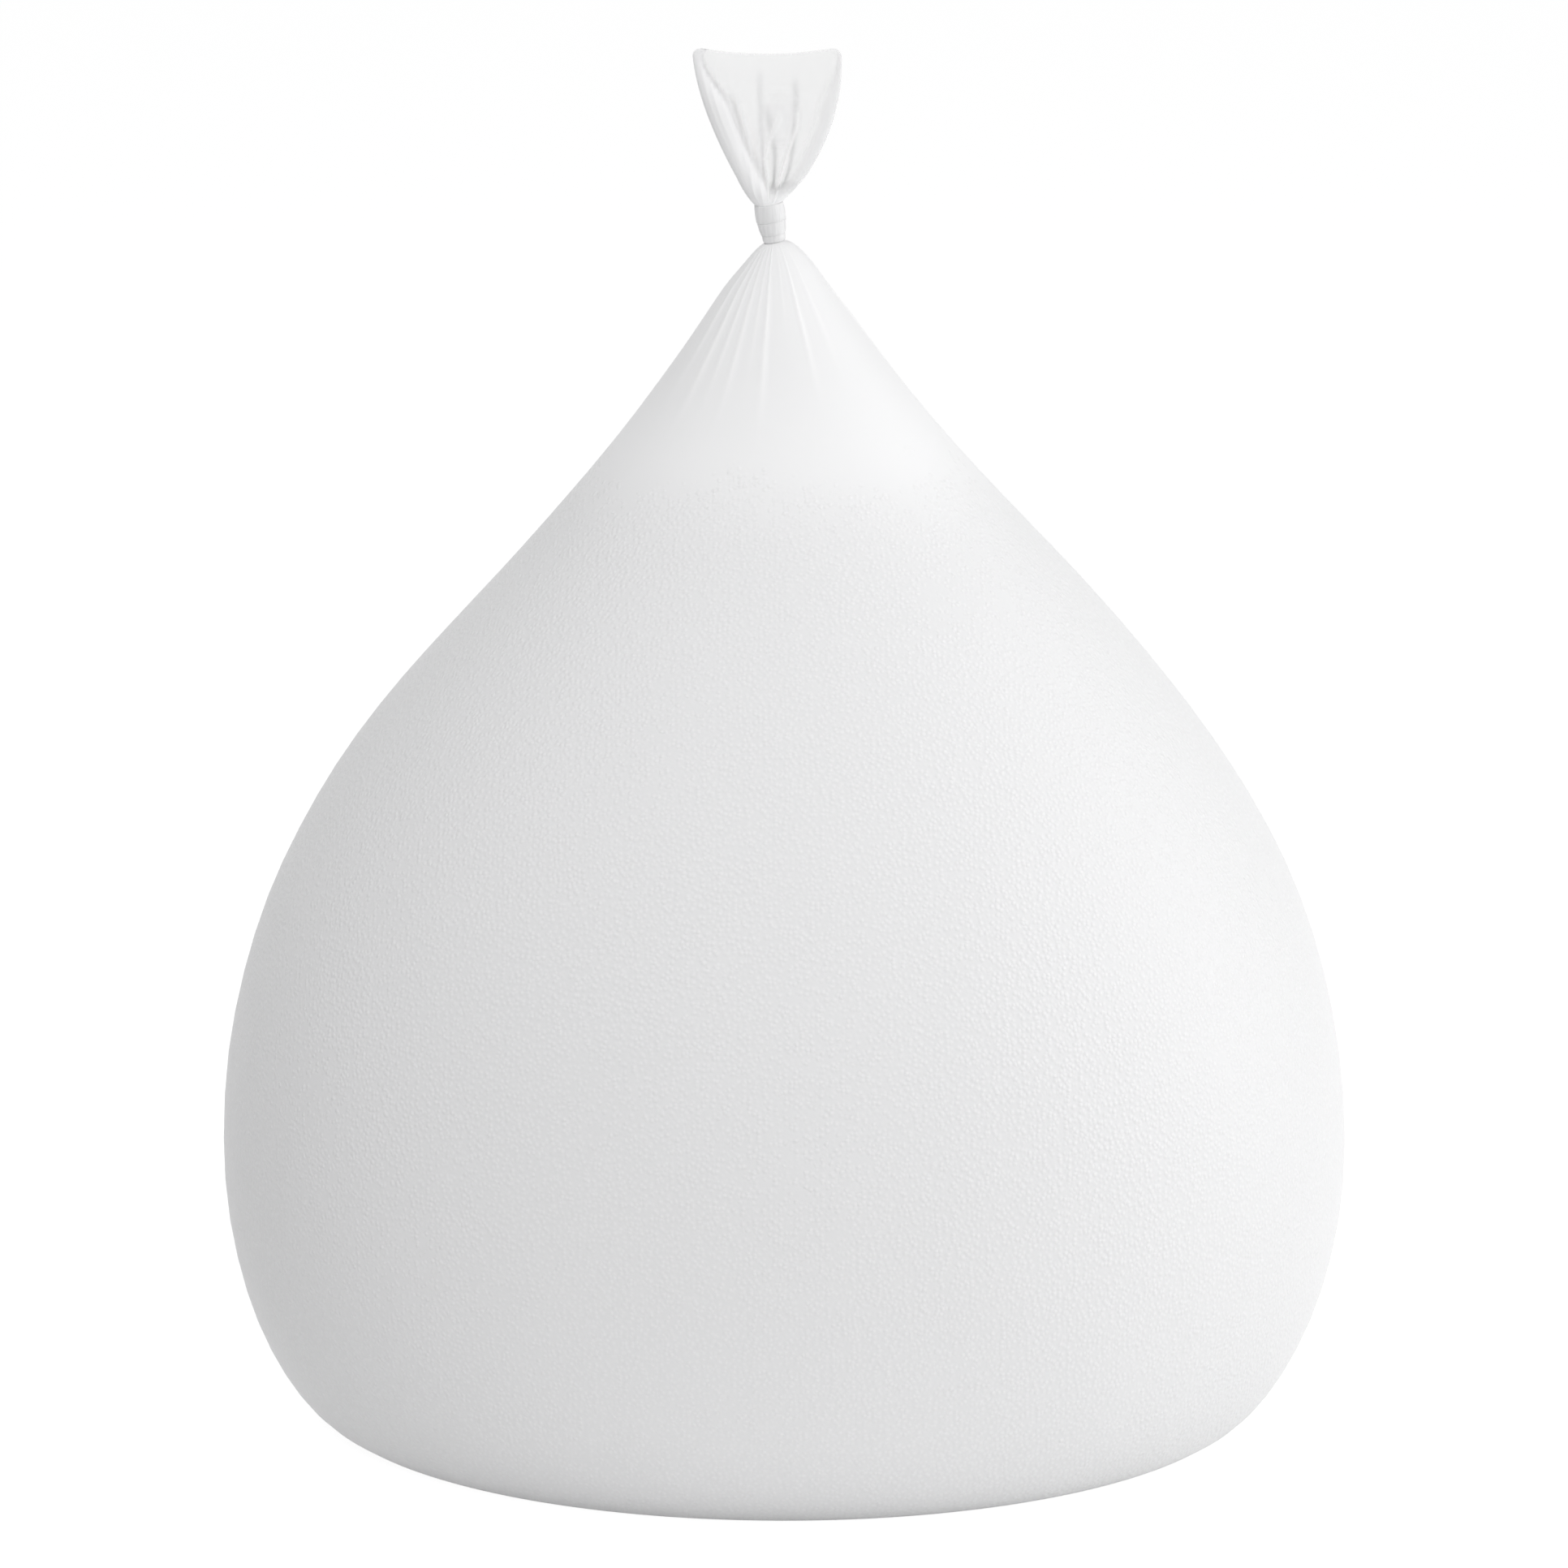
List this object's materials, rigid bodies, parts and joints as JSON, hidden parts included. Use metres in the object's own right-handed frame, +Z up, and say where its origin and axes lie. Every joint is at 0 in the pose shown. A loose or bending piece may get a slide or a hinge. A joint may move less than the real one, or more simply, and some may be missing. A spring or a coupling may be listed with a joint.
{
  "type": "bag of polystyrene beads",
  "caption": "Large milky film sack filled with small polystyrene beads, gathered and taped at the neck, with a flared loose mouth and a flat foot to stand on.",
  "frame": {"origin": "middle of the flat foot, on the floor", "axes": "+Z up through the neck, -Y towards the side that the picture shows, +X to that side's right; the neck leans towards -X"},
  "size_m": [0.797, 0.797, 0.9707],
  "materials": {
    "film": "milky polythene film, semi-matt, see-through where no beads lie behind it",
    "beads": "white expanded polystyrene beads of about 4 mm",
    "tape": "clear tape over gathered film"
  },
  "bodies": {
    "root": {"film_sack": "film", "bead_fill": "beads", "neck_tape": "tape"}
  },
  "joints": []
}
